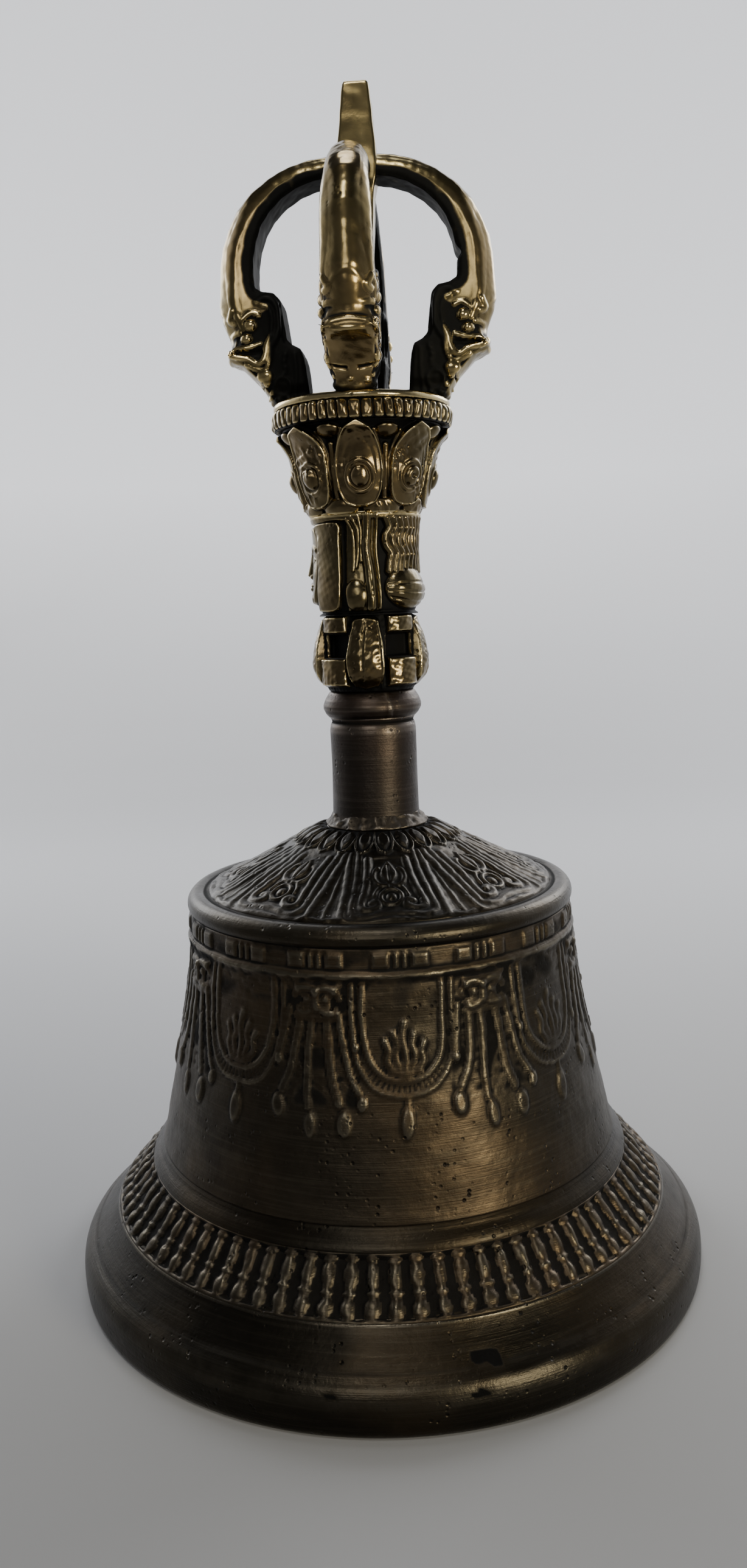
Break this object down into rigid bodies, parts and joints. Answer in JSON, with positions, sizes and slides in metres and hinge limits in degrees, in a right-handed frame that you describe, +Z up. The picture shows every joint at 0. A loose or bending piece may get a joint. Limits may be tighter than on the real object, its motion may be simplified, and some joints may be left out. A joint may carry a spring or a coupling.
{
  "type": "tibetan hand bell",
  "caption": "Bronze ritual hand bell with a flared, relief-decorated body, a sectioned brass handle ending in curved prongs round a spike, and a swinging clapper.",
  "frame": {"origin": "on the bell's axis, in the plane of the mouth on which it stands", "axes": "+Z up along the bell's axis to the tip of the spike; -Y is the front; +X is to the right seen from the front, and the head on the handle faces -X"},
  "size_m": [0.1002, 0.1002, 0.18],
  "materials": {
    "bell_bronze": "dark patinated cast bronze, worn on the raised work",
    "neck_bronze": "dark bronze, satin",
    "braze": "rough as-flowed braze",
    "handle_brass": "cast brass, rubbed on the high places and black in the recesses",
    "prong_brass": "brass polished by handling outside, dark inside",
    "iron": "forged iron, dark and slightly rusty"
  },
  "bodies": {
    "root": {"bell_body": "bell_bronze", "braze_fillet": "braze", "neck_tube": "neck_bronze", "ferrule_ring": "neck_bronze", "lotus_bulb": "handle_brass", "head_section": "handle_brass", "lotus_capital": "handle_brass", "pearl_ring": "handle_brass", "prong_table": "handle_brass", "prong_front": "prong_brass", "prong_right": "prong_brass", "prong_back": "prong_brass", "prong_left": "prong_brass", "centre_spine": "prong_brass", "core_rod": "iron", "clapper_staple": "iron", "staple_washer": "iron"},
    "link": {"clapper_link": "iron"},
    "clapper": {"clapper_shank": "iron", "clapper_bob": "iron"}
  },
  "joints": [
    {"name": "link_swing", "type": "hinge", "parent": "root", "child": "link", "pos_m": [0, 0, 0.0584], "axis": [1, 0, 0], "range_deg": [-31, 31]},
    {"name": "clapper_rock", "type": "hinge", "parent": "link", "child": "clapper", "pos_m": [0, 0, 0.0504], "axis": [0, 1, 0], "range_deg": [-10, 10]}
  ]
}
